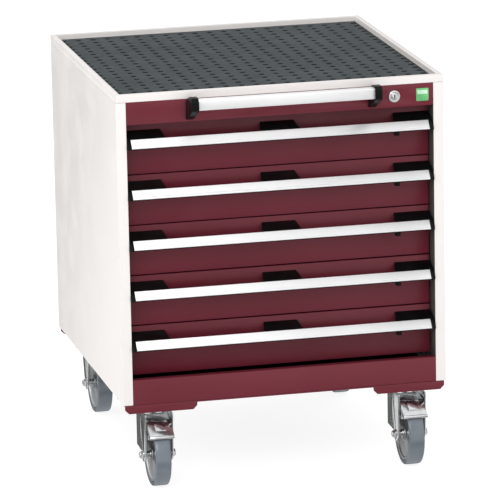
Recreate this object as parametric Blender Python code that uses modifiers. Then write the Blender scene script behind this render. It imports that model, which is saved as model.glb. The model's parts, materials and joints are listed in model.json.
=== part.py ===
"""Mobile drawer cabinet on four castors, modelled in metres with +Z up.

The front faces -Y.  The origin is on the floor, at the middle of the whole footprint.
Lengths called "from the front" run from the cabinet's front plane towards the back,
and heights called "up" run from the lower edge of the cabinet body.
"""

import math

import bmesh
import bpy
from mathutils import Matrix

NAME = "mobile_drawer_cabinet"

# ---- driving dimensions ------------------------------------------------------------
CABINET_W = 0.650
CABINET_D = 0.650
DRAWER_COUNT = 5
DRAWER_PITCH = 0.100
WHEEL_D = 0.125
HANDLE_REACH = 0.058          # the push handle stands this far in front of the cabinet

# ---- sheet metal and clearances ------------------------------------------------------
GAP = 0.0003                  # between pieces that touch
SHEET = 0.002                 # carcass sheet
DRAWER_SHEET = 0.0015         # drawer box sheet

# ---- carcass -------------------------------------------------------------------------
POST_W = 0.020                # front fold of a side panel
POST_RETURN = 0.040           # the fold's return into the cabinet
REAR_FLANGE = 0.018
FOLD = 0.016                  # returns of the plinth and the fascia
PLINTH_H = 0.0495
FASCIA_H = 0.044
FASCIA_CLEAR = 0.0065         # between the top drawer and the fascia
BODY_H = PLINTH_H + DRAWER_COUNT * DRAWER_PITCH + FASCIA_CLEAR + FASCIA_H

# ---- top tray ------------------------------------------------------------------------
RIM_H = 0.0151
RIM_W = 0.0105
TRAY_FLOOR = 0.002
MAT_T = 0.003
MAT_MARGIN = 0.0015

# ---- drawers -------------------------------------------------------------------------
DRAWER_GAP = 0.0025           # between two drawer fronts
DRAWER_SETBACK = 0.038        # drawer fronts behind the front plane
DRAWER_SIDE_CLEAR = 0.0013    # drawer front to post
DRAWER_WALL_IN = 0.038        # side wall from the cabinet's outer side
DRAWER_FLOOR_UP = 0.006
DRAWER_BOX_H = 0.072
DRAWER_REAR_CLEAR = 0.050
FRONT_FOLD = 0.012
RUNNER_BAR_W = 0.0145
RUNNER_BAR_H = 0.010
RUNNER_UP = 0.040             # underside of the runner bar above the drawer's base line
RUNNER_BAR_BACK = 0.010       # the bar's end from the box's rear
RAIL_FRONT = 0.005            # the cabinet's rails behind the post's return
RAIL_REAR = 0.030             # their rear end from the cabinet's rear
RAIL_TO_WALL = 0.0015         # rail flange to drawer wall
UPRIGHT_W = 0.030
UPRIGHT_IN = 0.020            # uprights from the rails' ends

# ---- drawer handle, in the plane across the handle: (from the front, above the drawer base);
# ---- its heights are measured down from the next drawer
STRIP_TOP = (0.007, DRAWER_PITCH - 0.0238)
STRIP_BOTTOM = (-0.0065, DRAWER_PITCH - 0.0392)
STRIP_T = 0.0022
STRIP_ROLL = 0.0004           # the rolled upper edge, beyond the flat face
STRIP_GROOVE = 0.0006         # depth of the groove
STRIP_GROOVE_HALF = 0.0005    # half of its width
STRIP_GROOVE_AT = 0.0045      # groove above the strip's lower edge
CARRIER_T = 0.0022
CARRIER_STEP = 0.0015         # the carrier's upper edge below the strip's
CAP_T = 0.0077
CAP_CLEAR = 0.0010            # end cap to post
CAP_TOP_UP = DRAWER_PITCH - 0.012
CAP_PROUD = 0.0008            # the end cap in front of the strip
SHELF_UP = DRAWER_PITCH - 0.0422
SHELF_T = 0.0022
TAB_T = 0.0035
TAB_LAP = 0.003               # the tab's lower edge reaches this far down behind the strip
SIDE_TAB_TOP = 0.0675         # width of an end tab where it meets the drawer front
SIDE_TAB_BOTTOM = 0.076
MID_TAB_TOP = 0.067
MID_TAB_BOTTOM = 0.083

# ---- catch under the handle strip ------------------------------------------------------
CATCH_FROM_SIDE = 0.094
CATCH_W = 0.009
CATCH_H = 0.0075
CATCH_D = 0.014
CATCH_AT = 0.004              # its middle behind the front plane
CATCH_STEM = 0.0045
CATCH_TRAVEL = 0.005
CATCH_HEAD = 0.009
CATCH_HEAD_H = 0.0022

# ---- push handle -------------------------------------------------------------------------
BRACKET_SPAN = 0.3618         # between the middles of the brackets
BRACKET_W = 0.014
BRACKET_TOP = 0.0105          # above the cabinet body's upper edge
BRACKET_WALL_TOP = 0.0035     # below that edge, as the next two are
BRACKET_NOSE_LOW = 0.0165
BRACKET_WALL_LOW = 0.040
BRACKET_SLOPE = 0.034         # how far its upper slope reaches out from the fascia
BRACKET_FOOT = 0.004          # depth of its flat foot
BRACKET_CHAMFER = 0.007
BRACKET_COVER = 0.004         # in front of the bar
BAR_H = 0.021
BAR_D = 0.020
BAR_ROUND = 0.0025
BAR_SEAT = 0.006              # depth of the bracket's socket
BAR_DOWN = 0.0035             # middle of the bar below the cabinet body's upper edge

# ---- lock and badge ------------------------------------------------------------------------
LOCK_FROM_SIDE = 0.0988
LOCK_FLANGE_R = 0.0118
LOCK_FLANGE_T = 0.0038
LOCK_PROUD = 0.0006           # the key plug in front of the flange
LOCK_BODY_R = 0.0095
LOCK_BODY_L = 0.022
PLUG_R = 0.0065
CAM_W = 0.009
CAM_L = 0.014
CAM_T = 0.002
KEY_SLOT_W = 0.0022
KEY_SLOT_H = 0.0075
KEY_SLOT_DEPTH = 0.003
BADGE_FROM_SIDE = 0.0422
BADGE_W = 0.025
BADGE_T = 0.001
BADGE_ROUND = 0.002

# ---- castor channels and castors ------------------------------------------------------------
CHANNEL_T = 0.003
CHANNEL_D = 0.118
CHANNEL_SIDE = 0.0035         # channel end from the cabinet's side
EAR_W = 0.144
EAR_H = 0.0175
EAR_CHAMFER = 0.008
CASTOR_FROM_SIDE = 0.070
FRONT_PIVOT = 0.060
REAR_AXLE = 0.064             # from the back
HEADROOM = 0.041              # over the wheel, up to the castor's mounting face
PLATE_X = 0.100
PLATE_Y = 0.085
PLATE_T = 0.004
TRAIL = 0.038
CROWN_R = 0.036
CROWN_H = 0.0155
BRIDGE_T = 0.006
BRIDGE_LAP = 0.002            # the bridge and the legs reach this far up into the crown
BRIDGE_FRONT = -0.010
BRIDGE_BACK = 0.0245
LEG_FRONT = 0.021             # front edge of a leg ahead of the axle
LEG_BACK = 0.0656             # rear edge of a leg behind the axle
LEG_BEND = 0.022              # where it bends, behind the axle
LEG_TAPER = 0.0015            # the leg turns in by this much from there to its rear edge
LEG_BACK_LOW = 0.0045         # the rear edge's lower end above the axle
LEG_FRONT_HIGH = 0.062        # the front edge's upper end above the axle
LEG_T = 0.0028
FIXED_LEG = 0.040             # half of a rear leg's width under its plate
FIXED_LEG_SQUARE = 0.016      # its full width reaches this far down
TYRE_W = 0.030
TYRE_T = 0.0085
TYRE_ROUND = 0.0024
TYRE_CROWN = 0.0004           # the tread's middle above its shoulders
LEG_ROOM = 0.0105             # tyre to leg, which the pedal's cheek passes through
EYE_R = 0.0145
AXLE_R = 0.004
SPACER_R = 0.009
BORE_CLEAR = 0.0003
RIM_IN = 0.001                # rim and hub faces inside the tyre's faces
HUB_R = 0.018
WEB_T = 0.022
RIM_RING_T = 0.004
RIM_SLOPE = 0.002
NUT_R = 0.0075
NUT_H = 0.0055
KINGPIN_R = 0.005
KINGPIN_HEAD_R = 0.009
KINGPIN_HEAD_H = 0.0045
PEDAL_T = 0.002
PEDAL_GAP = 0.0035            # pedal to tyre
PEDAL_FRONT_TILT = math.radians(32)
PEDAL_REAR_TILT = math.radians(7.5)
PEDAL_RISE = 0.004            # the rear part's distance from the axle, over the front part's
PEDAL_BEND_R = 0.030
PEDAL_FRONT_L = 0.0155        # from where the front part is nearest the axle to its nose
PEDAL_REAR_L = 0.040          # from the bend to the rear end
PEDAL_SIDE_CLEAR = 0.0015
PEDAL_LIP_R = 0.0035
PEDAL_CHEEK_H = 0.038         # lower edge of the cheeks above the axle
PEDAL_CHEEK_NOSE = 0.035      # and its front end ahead of the axle
PEDAL_CHEEK_TAIL = 0.012      # and its rear end behind the axle
PEDAL_TAIL_H = 0.018          # height of the cheeks at their rear end
PEDAL_PIN_R = 0.003
PEDAL_PIN_UP = 0.007          # pin outside the tyre
PEDAL_PIN_ANGLE = math.radians(15)
PAD_W = 0.021
PAD_AT = -0.002               # its lower edge, from where the front part is nearest the axle
PAD_L = 0.0185
PAD_T = 0.0015

# ---- worked out from the above ----------------------------------------------------------------
HALF_W = CABINET_W / 2
FRONT_Y = (HANDLE_REACH - CABINET_D) / 2
WHEEL_R = WHEEL_D / 2
CASTOR_H = WHEEL_D + HEADROOM
CABINET_Z = CASTOR_H + GAP + CHANNEL_T + GAP
LEG_IN = TYRE_W / 2 + LEG_ROOM
LEG_OUT = LEG_IN + LEG_T
AXLE_DROP = CASTOR_H - WHEEL_R
LOCK_X = HALF_W - LOCK_FROM_SIDE
LOCK_Z = CABINET_Z + BODY_H - FASCIA_H / 2

STEEL_WHITE = ((0.80, 0.77, 0.74), 0.45, 0.0)
STEEL_MAROON = ((0.17, 0.032, 0.045), 0.42, 0.0)
DARK_STEEL = ((0.10, 0.10, 0.105), 0.5, 0.6)
RUNNER_STEEL = ((0.55, 0.56, 0.57), 0.4, 0.9)
ZINC = ((0.62, 0.63, 0.64), 0.28, 1.0)
ALUMINIUM = ((0.80, 0.81, 0.82), 0.32, 1.0)
BLACK_PLASTIC = ((0.012, 0.012, 0.013), 0.45, 0.0)
RUBBER_MAT = ((0.065, 0.078, 0.085), 0.75, 0.0)
TYRE_GREY = ((0.22, 0.23, 0.245), 0.6, 0.0)
CHROME = ((0.80, 0.80, 0.80), 0.15, 1.0)
BADGE_GREEN = ((0.03, 0.33, 0.10), 0.35, 0.0)

AXES = {
    # local x, y and z of an outline, as world axes
    "X": Matrix(((0, 0, 1, 0), (1, 0, 0, 0), (0, 1, 0, 0), (0, 0, 0, 1))),
    "Y": Matrix(((1, 0, 0, 0), (0, 0, -1, 0), (0, 1, 0, 0), (0, 0, 0, 1))),
    "Z": Matrix.Identity(4),
}


# ---- helpers -----------------------------------------------------------------------------------
def clear_scene():
    for obj in list(bpy.data.objects):
        bpy.data.objects.remove(obj, do_unlink=True)


def part_collection():
    collection = bpy.data.collections.new(NAME)
    bpy.context.scene.collection.children.link(collection)
    return collection


def front(distance):
    """The y of a place this far behind the front plane."""
    return FRONT_Y + distance


def up(height):
    """The z of a place this far above the lower edge of the cabinet body."""
    return CABINET_Z + height


def mesh_object(name, mesh):
    obj = bpy.data.objects.new(name, mesh)
    bpy.context.scene.collection.objects.link(obj)
    return obj


def baked(obj):
    """Replace an object by a welded mesh of what it evaluates to, in its own axes."""
    depsgraph = bpy.context.evaluated_depsgraph_get()
    mesh = bpy.data.meshes.new_from_object(obj.evaluated_get(depsgraph))
    shape = bmesh.new()
    shape.from_mesh(mesh)
    bmesh.ops.remove_doubles(shape, verts=shape.verts, dist=1e-6)
    shape.to_mesh(mesh)
    shape.free()
    name = obj.name
    matrix = obj.matrix_world.copy()
    bpy.data.objects.remove(obj, do_unlink=True)
    result = mesh_object(name, mesh)
    result.matrix_world = matrix
    return result


def box(name, x, y, z):
    """A box from three (low, high) pairs."""
    mesh = bpy.data.meshes.new(name)
    shape = bmesh.new()
    bmesh.ops.create_cube(shape, size=1)
    for vert in shape.verts:
        for axis, (low, high) in enumerate((x, y, z)):
            vert.co[axis] = high if vert.co[axis] > 0 else low
    shape.to_mesh(mesh)
    shape.free()
    return mesh_object(name, mesh)


def extruded(name, points, low, high, axis):
    """A flat outline pushed from low to high along X, Y or Z; X takes (y, z) points, Y takes (x, z)."""
    curve = bpy.data.curves.new(name, "CURVE")
    curve.dimensions = "2D"
    curve.fill_mode = "BOTH"
    curve.extrude = (high - low) / 2
    spline = curve.splines.new("POLY")
    spline.points.add(len(points) - 1)
    for target, (u, v) in zip(spline.points, points):
        target.co = (u, v, 0, 1)
    spline.use_cyclic_u = True
    obj = baked(mesh_object(name, curve))
    shift = Matrix.Translation((0, 0, (low + high) / 2 * (-1 if axis == "Y" else 1)))
    obj.data.transform(AXES[axis] @ shift)
    # both ends exactly at their places, so that faces of two pieces in one plane stay in one plane
    number = "XYZ".index(axis)
    for vert in obj.data.vertices:
        vert.co[number] = high if vert.co[number] > (low + high) / 2 else low
    return obj


def turned(name, profile, steps, axis="Z", closed=False):
    """A profile of (radius, height) points turned round the local Z axis, which is then laid along axis."""
    mesh = bpy.data.meshes.new(name)
    edges = [(i, i + 1) for i in range(len(profile) - 1)]
    if closed:
        edges.append((len(profile) - 1, 0))
    mesh.from_pydata([(radius, 0, height) for radius, height in profile], edges, [])
    obj = mesh_object(name, mesh)
    screw = obj.modifiers.new("Turn", "SCREW")
    screw.steps = steps
    screw.render_steps = steps
    screw.use_merge_vertices = True
    screw.merge_threshold = 0.00001
    obj = baked(obj)
    obj.data.transform(AXES[axis])
    return obj


def cylinder(name, radius, low, high, axis, steps=24):
    """A round bar from low to high along an axis through the origin."""
    if axis == "Y":
        low, high = -high, -low
    return turned(name, [(0, high), (radius, high), (radius, low), (0, low)], steps, axis)


def moved(obj, x=0.0, y=0.0, z=0.0):
    obj.data.transform(Matrix.Translation((x, y, z)))
    return obj


def boolean(target, tools, operation):
    """Join, cut or intersect a target with tools, which are then removed."""
    for tool in tools:
        modifier = target.modifiers.new(tool.name, "BOOLEAN")
        modifier.operation = operation
        modifier.object = tool
    result = baked(target)
    for tool in tools:
        bpy.data.objects.remove(tool, do_unlink=True)
    return result


def joined(target, *tools):
    return boolean(target, tools, "UNION")


def cut(target, *tools):
    return boolean(target, tools, "DIFFERENCE")


def common(target, *tools):
    return boolean(target, tools, "INTERSECT")


def arc(centre, radius, start, end, steps):
    """Points on an arc from start to end, in degrees."""
    angles = [math.radians(start + (end - start) * i / steps) for i in range(steps + 1)]
    return [(centre[0] + radius * math.cos(a), centre[1] + radius * math.sin(a)) for a in angles]


def rounded_rectangle(centre, width, height, radius, steps=4):
    points = []
    corners = ((1, 1, 0), (-1, 1, 90), (-1, -1, 180), (1, -1, 270))
    for side_u, side_v, start in corners:
        middle = (centre[0] + side_u * (width / 2 - radius), centre[1] + side_v * (height / 2 - radius))
        points += arc(middle, radius, start, start + 90, steps)
    return points


def finish(obj, look, parent=None, smooth=False):
    """Give a part its own material, put it in the object's collection and under its parent."""
    colour, roughness, metallic = look
    material = bpy.data.materials.new(obj.name)
    material.use_nodes = True
    shader = material.node_tree.nodes["Principled BSDF"]
    shader.inputs["Base Color"].default_value = (*colour, 1)
    shader.inputs["Roughness"].default_value = roughness
    shader.inputs["Metallic"].default_value = metallic
    obj.data.materials.clear()
    obj.data.materials.append(material)
    if smooth:
        obj.data.shade_smooth()
        obj.data.set_sharp_from_angle(angle=math.radians(35))
    bpy.context.scene.collection.objects.unlink(obj)
    PARTS.objects.link(obj)
    if parent is not None:
        obj.parent = parent
    return obj


def copy_of(source, name, parent):
    """Another object of the same shape, in its parent's axes."""
    obj = mesh_object(name, source.data.copy())
    shader = source.active_material.node_tree.nodes["Principled BSDF"]
    look = (
        tuple(shader.inputs["Base Color"].default_value)[:3],
        shader.inputs["Roughness"].default_value,
        shader.inputs["Metallic"].default_value,
    )
    return finish(obj, look, parent)


def empty(name, location):
    """A joint's or group's own axes."""
    obj = bpy.data.objects.new(name, None)
    obj.empty_display_size = 0.05
    obj.location = location
    PARTS.objects.link(obj)
    return obj


# ---- carcass -----------------------------------------------------------------------------------
def side_panel(side):
    """A sheet with a boxed front post and a rear flange, folded from one piece."""
    outer = side * HALF_W
    inner = -side

    def at(distance):
        return outer + inner * distance

    outline = [
        (at(0), front(0)),
        (at(POST_W), front(0)),
        (at(POST_W), front(POST_RETURN)),
        (at(POST_W - SHEET), front(POST_RETURN)),
        (at(POST_W - SHEET), front(SHEET)),
        (at(SHEET), front(SHEET)),
        (at(SHEET), front(CABINET_D - SHEET)),
        (at(REAR_FLANGE), front(CABINET_D - SHEET)),
        (at(REAR_FLANGE), front(CABINET_D)),
        (at(0), front(CABINET_D)),
    ]
    name = "left_side_panel" if side < 0 else "right_side_panel"
    finish(extruded(name, outline, up(0), up(BODY_H), "Z"), STEEL_WHITE)


def back_panel():
    half = HALF_W - SHEET - GAP
    back = front(CABINET_D - SHEET - GAP)
    obj = box("back_panel", (-half, half), (back - SHEET, back), (up(0), up(BODY_H)))
    finish(obj, STEEL_WHITE)


def base_panel():
    """A floor sheet that fits between the side panels, with a tongue between the posts."""
    half = HALF_W - SHEET - GAP
    tongue = HALF_W - POST_W - GAP
    back = front(CABINET_D - 2 * SHEET - 2 * GAP)
    shoulder = front(POST_RETURN + GAP)
    floor = box("base_panel", (-half, half), (shoulder, back), (up(0), up(SHEET)))
    between_posts = (front(FOLD + GAP), shoulder + SHEET)
    obj = joined(floor, box("tongue", (-tongue, tongue), between_posts, (up(0), up(SHEET))))
    finish(obj, DARK_STEEL)


def folded_rail(name, low, high):
    """A front rail between the posts: a face with its upper and lower edges folded back."""
    outline = [
        (front(0), low),
        (front(FOLD), low),
        (front(FOLD), low + SHEET),
        (front(SHEET), low + SHEET),
        (front(SHEET), high - SHEET),
        (front(FOLD), high - SHEET),
        (front(FOLD), high),
        (front(0), high),
    ]
    half = HALF_W - POST_W - GAP
    return extruded(name, outline, -half, half, "X")


def plinth():
    finish(folded_rail("plinth", up(0), up(PLINTH_H)), STEEL_MAROON)


def lock_fascia():
    face = folded_rail("lock_fascia", up(BODY_H - FASCIA_H), up(BODY_H))
    hole = cylinder("lock_hole", LOCK_BODY_R + GAP, -SHEET, 2 * SHEET, "Y")
    finish(cut(face, moved(hole, LOCK_X, front(0), LOCK_Z)), STEEL_MAROON)


def top_tray():
    """A pan with a hollow rim that is open below."""
    low = up(BODY_H + GAP)
    high = low + RIM_H
    back = front(CABINET_D)

    def ring(inset):
        return (inset - HALF_W, HALF_W - inset), (front(inset), back - inset)

    tray = box("top_tray", *ring(0), (low, high))
    recess = box("recess", *ring(RIM_W), (low + TRAY_FLOOR, high + SHEET))
    groove = box("groove", *ring(SHEET), (low - SHEET, high - SHEET))
    core = box("core", *ring(RIM_W - SHEET), (low - 2 * SHEET, high))
    finish(cut(tray, recess, cut(groove, core)), STEEL_WHITE)


def top_mat():
    inset = RIM_W + MAT_MARGIN
    low = up(BODY_H + GAP) + TRAY_FLOOR + GAP
    across = (inset - HALF_W, HALF_W - inset)
    along = (front(inset), front(CABINET_D - inset))
    finish(box("top_mat", across, along, (low, low + MAT_T)), RUBBER_MAT)


def runner_frame(side):
    """Two uprights that carry one C-shaped rail for each drawer."""
    name = "left_runner_frame" if side < 0 else "right_runner_frame"
    rail_front = POST_RETURN + RAIL_FRONT
    rail_back = CABINET_D - RAIL_REAR
    web_in = SHEET + GAP
    flange_in = DRAWER_WALL_IN - RAIL_TO_WALL

    def span(start, end):
        return tuple(sorted((side * (HALF_W - start), side * (HALF_W - end))))

    rails = []
    for number in range(1, DRAWER_COUNT + 1):
        bar_low = drawer_z(number) + RUNNER_UP
        low = bar_low - GAP - SHEET
        high = bar_low + RUNNER_BAR_H + GAP + SHEET
        outer = side * (HALF_W - web_in - SHEET / 2)
        outline = [
            (outer, low),
            (side * (HALF_W - flange_in), low),
            (side * (HALF_W - flange_in), low + SHEET),
            (outer - side * SHEET, low + SHEET),
            (outer - side * SHEET, high - SHEET),
            (side * (HALF_W - flange_in), high - SHEET),
            (side * (HALF_W - flange_in), high),
            (outer, high),
        ]
        rails.append(extruded("rail", outline, front(rail_front), front(rail_back), "Y"))
    low = up(SHEET + GAP)
    high = up(BODY_H) - SHEET
    uprights = []
    for start in (rail_front + UPRIGHT_IN, rail_back - UPRIGHT_IN - UPRIGHT_W):
        along = (front(start), front(start + UPRIGHT_W))
        uprights.append(box(name, span(web_in, web_in + SHEET), along, (low, high)))
    finish(joined(uprights[0], *rails, uprights[1]), RUNNER_STEEL)


# ---- push handle, lock and badge -----------------------------------------------------------------
def push_handle():
    bar_y = front(-HANDLE_REACH + BRACKET_COVER + BAR_D / 2)
    bar_z = up(BODY_H - BAR_DOWN)
    nose = -HANDLE_REACH
    chamfer = BRACKET_CHAMFER
    outline = [
        (front(-GAP), up(BODY_H - BRACKET_WALL_LOW)),
        (front(-GAP), up(BODY_H - BRACKET_WALL_TOP)),
        (front(-BRACKET_SLOPE), up(BODY_H + BRACKET_TOP)),
        (front(nose + chamfer), up(BODY_H + BRACKET_TOP)),
        (front(nose), up(BODY_H + BRACKET_TOP - chamfer)),
        (front(nose), up(BODY_H - BRACKET_NOSE_LOW + chamfer / 2)),
        (front(nose + chamfer / 2), up(BODY_H - BRACKET_NOSE_LOW)),
        (front(-BRACKET_FOOT), up(BODY_H - BRACKET_WALL_LOW)),
    ]
    half_bar = BRACKET_SPAN / 2 - BRACKET_W / 2 + BAR_SEAT
    for side, name in ((-1, "push_handle_bracket_left"), (1, "push_handle_bracket_right")):
        middle = side * BRACKET_SPAN / 2
        bracket = extruded(name, outline, middle - BRACKET_W / 2, middle + BRACKET_W / 2, "X")
        seat_size = (BAR_D + 2 * GAP, BAR_H + 2 * GAP, BAR_ROUND + GAP)
        seat = extruded(
            "seat", rounded_rectangle((bar_y, bar_z), *seat_size), -half_bar - GAP, half_bar + GAP, "X"
        )
        finish(cut(bracket, seat), BLACK_PLASTIC)
    section = rounded_rectangle((bar_y, bar_z), BAR_D, BAR_H, BAR_ROUND)
    finish(extruded("push_handle_bar", section, -half_bar, half_bar, "X"), ALUMINIUM, smooth=True)


def lock():
    """A housing through the fascia, and the key plug that turns in it with its cam."""
    bore = PLUG_R + GAP
    profile = [
        (bore, LOCK_FLANGE_T + GAP),
        (LOCK_FLANGE_R, LOCK_FLANGE_T + GAP),
        (LOCK_FLANGE_R, GAP),
        (LOCK_BODY_R, GAP),
        (LOCK_BODY_R, -LOCK_BODY_L),
        (bore, -LOCK_BODY_L),
    ]
    housing = turned("lock_housing", profile, 32, "Y", closed=True)
    finish(moved(housing, LOCK_X, front(0), LOCK_Z), CHROME, smooth=True)

    axis = empty("key_axis", (LOCK_X, front(0), LOCK_Z))
    face = -LOCK_FLANGE_T - GAP - LOCK_PROUD
    rear = LOCK_BODY_L + GAP
    plug = cylinder("key_cylinder", PLUG_R, face, rear + CAM_T, "Y")
    cam = box("cam", (-CAM_W / 2, CAM_W / 2), (rear, rear + CAM_T), (-CAM_L, 0))
    slot = box(
        "slot",
        (-KEY_SLOT_W / 2, KEY_SLOT_W / 2),
        (face - SHEET, face + KEY_SLOT_DEPTH),
        (-KEY_SLOT_H / 2, KEY_SLOT_H / 2),
    )
    finish(cut(joined(plug, cam), slot), CHROME, axis, smooth=True)


def badge():
    middle = HALF_W - BADGE_FROM_SIDE
    outline = rounded_rectangle((middle, LOCK_Z), BADGE_W, BADGE_W, BADGE_ROUND, 3)
    plate = extruded("badge", outline, front(-GAP - BADGE_T), front(-GAP), "Y")
    finish(plate, BADGE_GREEN)


# ---- drawers ---------------------------------------------------------------------------------------
def drawer_z(number):
    """The base line of a drawer, counted from the top."""
    return up(PLINTH_H + (DRAWER_COUNT - number) * DRAWER_PITCH)


def drawer_box():
    """The front, box and runner bars welded together, from the drawer's base line."""
    half_front = HALF_W - POST_W - DRAWER_SIDE_CLEAR
    low = DRAWER_GAP / 2
    high = DRAWER_PITCH - DRAWER_GAP / 2
    face = DRAWER_SETBACK
    outline = [
        (face, low),
        (face + FRONT_FOLD, low),
        (face + FRONT_FOLD, low + SHEET),
        (face + SHEET, low + SHEET),
        (face + SHEET, high - SHEET),
        (face + FRONT_FOLD, high - SHEET),
        (face + FRONT_FOLD, high),
        (face, high),
    ]
    panel = extruded("drawer_box", outline, -half_front, half_front, "X")

    wall = HALF_W - DRAWER_WALL_IN
    rear = CABINET_D - DRAWER_REAR_CLEAR
    floor = DRAWER_FLOOR_UP
    inside = wall - DRAWER_SHEET
    body_y = (face + SHEET / 2, rear)
    body = box("body", (-wall, wall), body_y, (floor, floor + DRAWER_BOX_H))
    room_y = (face + SHEET, rear - DRAWER_SHEET)
    room = box("room", (-inside, inside), room_y, (floor + DRAWER_SHEET, floor + 2 * DRAWER_BOX_H))
    # the room is cut out of the body first, so that the front's fold stays whole
    body = cut(body, room)
    bars = []
    for side in (-1, 1):
        across = sorted((side * (wall - DRAWER_SHEET / 2), side * (wall + RUNNER_BAR_W)))
        bar_z = (RUNNER_UP, RUNNER_UP + RUNNER_BAR_H)
        bars.append(box("bar", across, (face + SHEET / 2, rear - RUNNER_BAR_BACK), bar_z))
    return joined(panel, body, *bars)


def handle_axes():
    """Unit vectors across the strip: down its face and out of it."""
    dy = STRIP_BOTTOM[0] - STRIP_TOP[0]
    dz = STRIP_BOTTOM[1] - STRIP_TOP[1]
    length = math.hypot(dy, dz)
    down = (dy / length, dz / length)
    return down, (down[1], -down[0]), length


def strip_point(along, depth):
    """A point this far down the strip's face and this far behind it."""
    down, out, _ = handle_axes()
    y = STRIP_TOP[0] + along * down[0] - depth * out[0]
    z = STRIP_TOP[1] + along * down[1] - depth * out[1]
    return (y, z)


def strip_cut_by(level, depth):
    """The point at this height on the line that runs this far behind the strip's face."""
    down, out, _ = handle_axes()
    along = (level - STRIP_TOP[1] + depth * out[1]) / down[1]
    return strip_point(along, depth)


def handle_strip():
    """A bright strip that leans back, with a rolled upper edge and a groove near the lower one."""
    _, _, length = handle_axes()
    groove = length - STRIP_GROOVE_AT
    outline = [
        strip_point(STRIP_ROLL, 0),
        strip_point(groove - STRIP_GROOVE_HALF, 0),
        strip_point(groove, STRIP_GROOVE),
        strip_point(groove + STRIP_GROOVE_HALF, 0),
        strip_point(length, 0),
        strip_point(length, STRIP_T),
        strip_point(0, STRIP_T),
        strip_point(-STRIP_ROLL, STRIP_T / 2),
    ]
    half = HALF_W - POST_W - CAP_CLEAR - CAP_T - GAP
    return extruded("drawer_handle_strip", outline, -half, half, "X")


def handle_tab(middle, top_w, bottom_w, square_side=0):
    """A sloping cover from the drawer front down to the strip, wider at the strip.

    square_side is -1 or 1 where the left or right edge runs straight into an end cap.
    """
    high = DRAWER_SETBACK - GAP
    low = STRIP_TOP[0] + STRIP_T
    behind = STRIP_T + GAP
    slope = [
        (high, CAP_TOP_UP),
        (high, CAP_TOP_UP - TAB_T),
        strip_point(TAB_LAP, behind + CARRIER_T),
        strip_point(TAB_LAP, behind),
        strip_point(0, behind),
        (low, STRIP_TOP[1]),
    ]
    wide = bottom_w / 2
    block = extruded("tab", slope, middle - wide, middle + wide, "X")
    lean = bottom_w - top_w
    left_lean = 0 if square_side < 0 else (lean if square_side > 0 else lean / 2)
    right_lean = 0 if square_side > 0 else (lean if square_side < 0 else lean / 2)
    plan = [
        (middle - wide, 0),
        (middle + wide, 0),
        (middle + wide - right_lean, high + GAP),
        (middle - wide + left_lean, high + GAP),
    ]
    return common(block, extruded("plan", plan, 0, DRAWER_PITCH, "Z"))


def handle_carrier():
    """The black rail that holds the strip, with its end caps and sloping tabs."""
    rear = DRAWER_SETBACK - GAP
    behind = STRIP_T + GAP
    _, _, length = handle_axes()
    toe = strip_point(length, behind)
    outline = [
        (toe[0], SHELF_UP),
        (rear, SHELF_UP),
        (rear, SHELF_UP + SHELF_T),
        strip_cut_by(SHELF_UP + SHELF_T, behind + CARRIER_T),
        strip_point(CARRIER_STEP, behind + CARRIER_T),
        strip_point(CARRIER_STEP, behind),
        toe,
    ]
    outer = HALF_W - POST_W - CAP_CLEAR
    rail = extruded("drawer_handle_carrier", outline, CAP_T / 2 - outer, outer - CAP_T / 2, "X")
    cap_outline = [
        (toe[0], SHELF_UP),
        (rear, SHELF_UP),
        (rear, CAP_TOP_UP),
        strip_point(0, -CAP_PROUD),
        strip_point(length, -CAP_PROUD),
    ]
    pieces = [handle_tab(0, MID_TAB_TOP, MID_TAB_BOTTOM)]
    for side in (-1, 1):
        edges = sorted((side * outer, side * (outer - CAP_T)))
        pieces.append(extruded("cap", cap_outline, *edges, "X"))
        middle = side * (outer - CAP_T / 2 - SIDE_TAB_BOTTOM / 2)
        pieces.append(handle_tab(middle, SIDE_TAB_TOP, SIDE_TAB_BOTTOM, side))
    slot_x = HALF_W - CATCH_FROM_SIDE
    slot = box(
        "slot",
        (slot_x - CATCH_STEM / 2 - CATCH_TRAVEL - 2 * GAP, slot_x + CATCH_STEM / 2 + 2 * GAP),
        (CATCH_AT - CATCH_STEM / 2 - GAP, CATCH_AT + CATCH_STEM / 2 + GAP),
        (SHELF_UP - SHEET, SHELF_UP + SHELF_T + SHEET),
    )
    return cut(joined(rail, *pieces), slot)


def drawer_catch():
    """A thumb slide that hangs under the handle, with a head that holds it in the slot."""
    half = CATCH_W / 2
    thumb = box(
        "drawer_catch",
        (-half, half),
        (CATCH_AT - CATCH_D / 2, CATCH_AT + CATCH_D / 2),
        (SHELF_UP - GAP - CATCH_H, SHELF_UP - GAP),
    )
    stem_y = (CATCH_AT - CATCH_STEM / 2, CATCH_AT + CATCH_STEM / 2)
    head_low = SHELF_UP + SHELF_T + GAP
    stem = box("stem", (-CATCH_STEM / 2, CATCH_STEM / 2), stem_y, (SHELF_UP - SHEET, head_low + GAP))
    head = box(
        "head",
        (-CATCH_HEAD / 2, CATCH_HEAD / 2),
        (CATCH_AT - CATCH_STEM / 2, CATCH_AT - CATCH_STEM / 2 + CATCH_HEAD),
        (head_low, head_low + CATCH_HEAD_H),
    )
    return joined(thumb, stem, head)


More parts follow.
